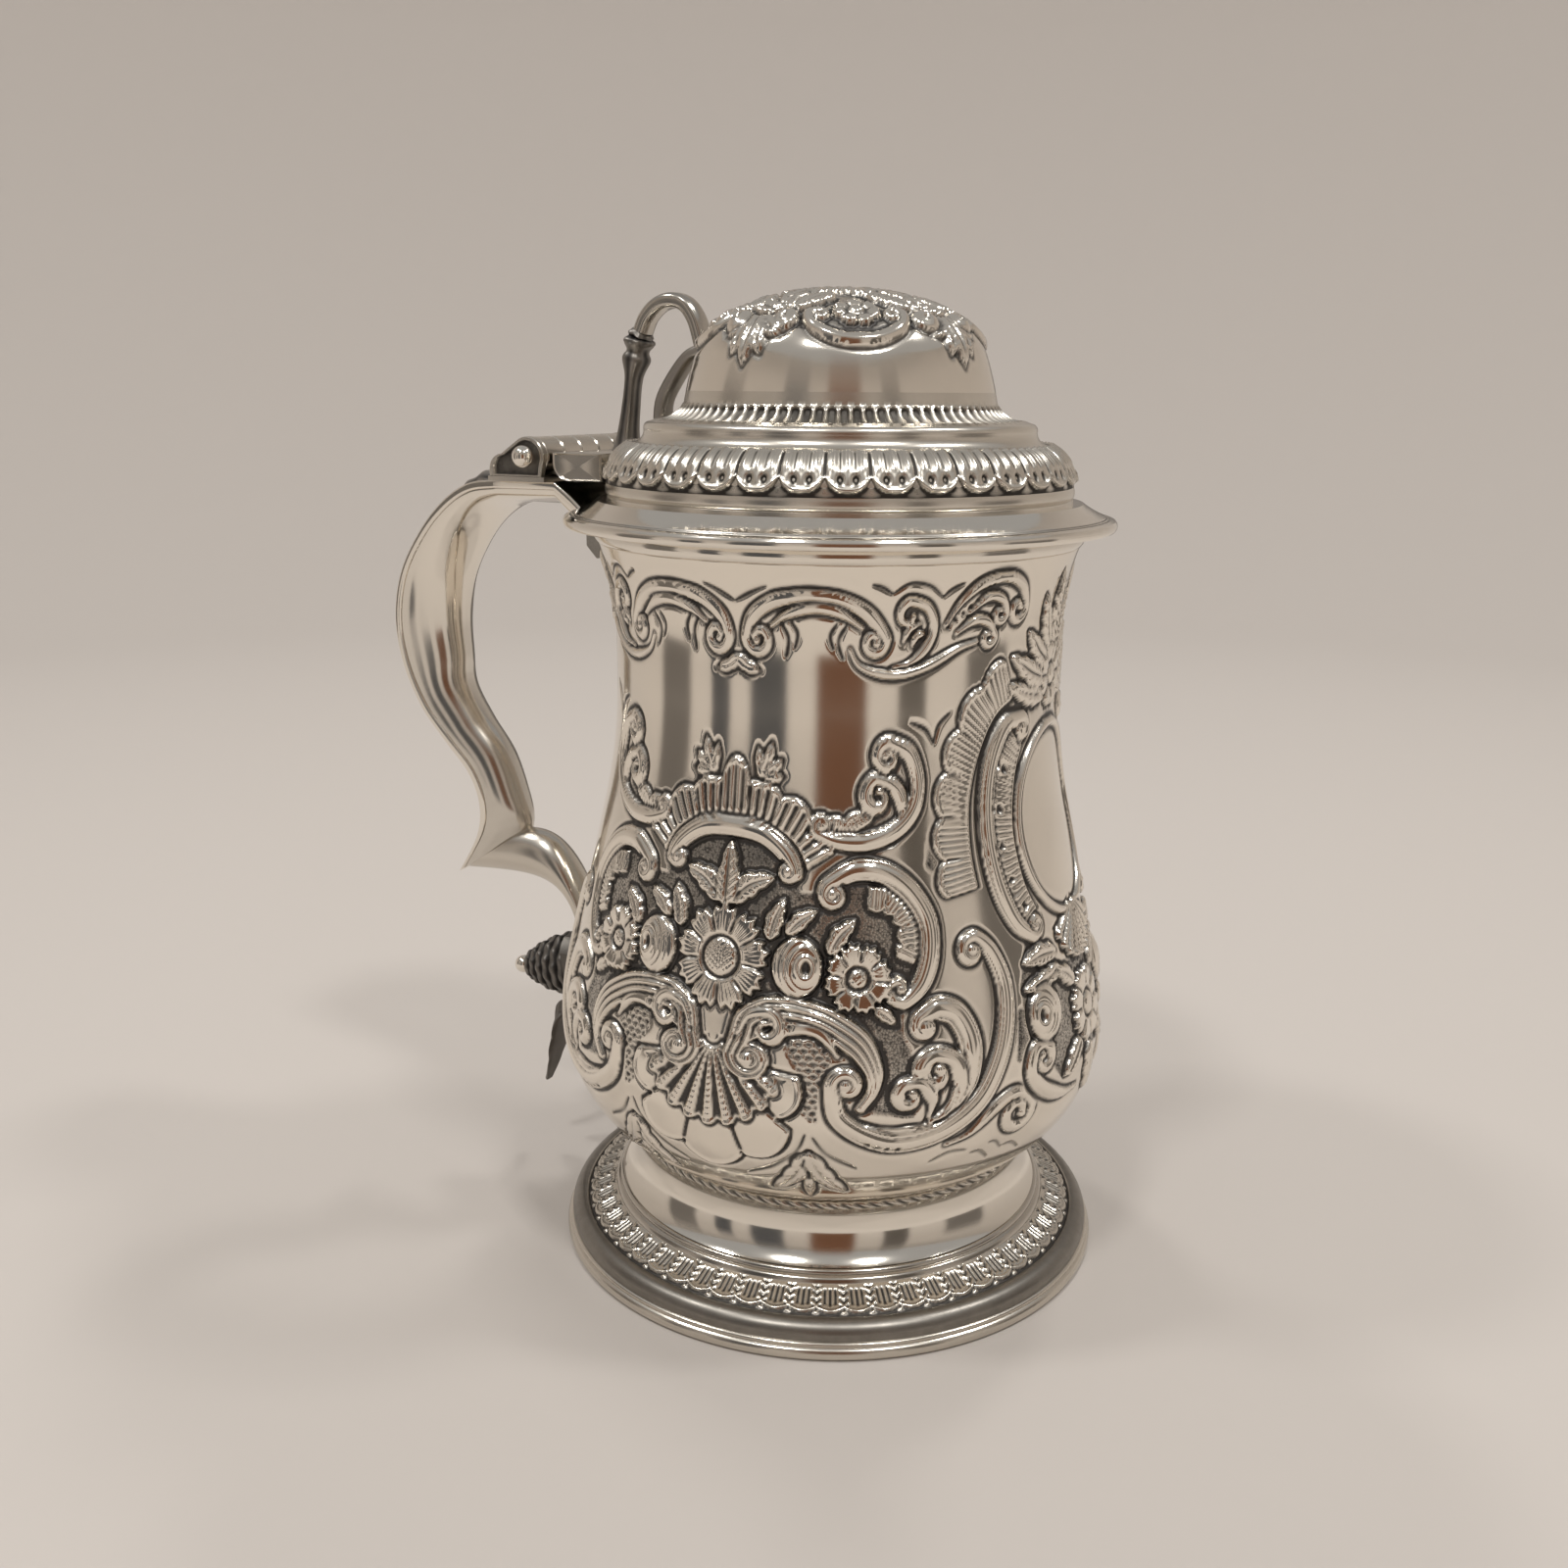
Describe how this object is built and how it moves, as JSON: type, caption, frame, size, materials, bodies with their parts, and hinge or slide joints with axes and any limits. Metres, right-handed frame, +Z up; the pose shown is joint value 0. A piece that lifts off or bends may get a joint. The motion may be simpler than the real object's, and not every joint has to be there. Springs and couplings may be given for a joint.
{
  "type": "covered tankard",
  "caption": "Baluster drinking tankard of chased silver on a spreading foot, with a hollow double-scroll handle and a domed cover hinged to it, raised by an openwork thumbpiece.",
  "frame": {"origin": "on the vessel's axis, in the plane that the tankard stands on", "axes": "+Z up along the vessel's axis, the handle along -X, the hinge pin along Y"},
  "size_m": [0.1646, 0.1166, 0.1993],
  "materials": {
    "bright_silver": "polished silver with a warm, slightly worn surface",
    "toned_silver": "silver with dark tone left in its recesses"
  },
  "bodies": {
    "vessel": {"body": "bright_silver", "lip_ring": "bright_silver", "foot_collet": "bright_silver", "foot_moulding": "bright_silver", "foot_base_wire": "bright_silver", "handle_back_strap": "bright_silver", "handle_shell": "bright_silver", "upper_handle_pad": "bright_silver", "hinge_plate": "bright_silver", "handle_hinge_lugs": "bright_silver", "hinge_pin": "bright_silver", "pin_finials": "bright_silver", "terminal_bead": "bright_silver", "flank_chasing": "bright_silver", "front_chasing": "bright_silver", "mouth_chasing": "bright_silver", "seam_wire": "toned_silver", "foot_border": "toned_silver", "handle_lower_scroll": "toned_silver", "lower_handle_pad": "toned_silver", "terminal_boss": "toned_silver", "terminal_leaf": "toned_silver", "handle_top_leaf": "toned_silver", "hinge_cheeks": "toned_silver"},
    "cover": {"lid_cover": "bright_silver", "lid_flange": "bright_silver", "lid_bezel": "bright_silver", "lid_gadroon_border": "toned_silver", "lid_hinge_leaf": "toned_silver", "lid_hinge_lugs": "bright_silver", "thumbpiece_stem": "toned_silver", "thumbpiece_loop": "toned_silver", "thumbpiece_return": "toned_silver", "dome_chasing": "bright_silver"}
  },
  "joints": [
    {"name": "lid_hinge", "type": "hinge", "parent": "vessel", "child": "cover", "pos_m": [-0.062, 0, 0.1658], "axis": [0, -1, 0], "range_deg": [0, 100]}
  ]
}
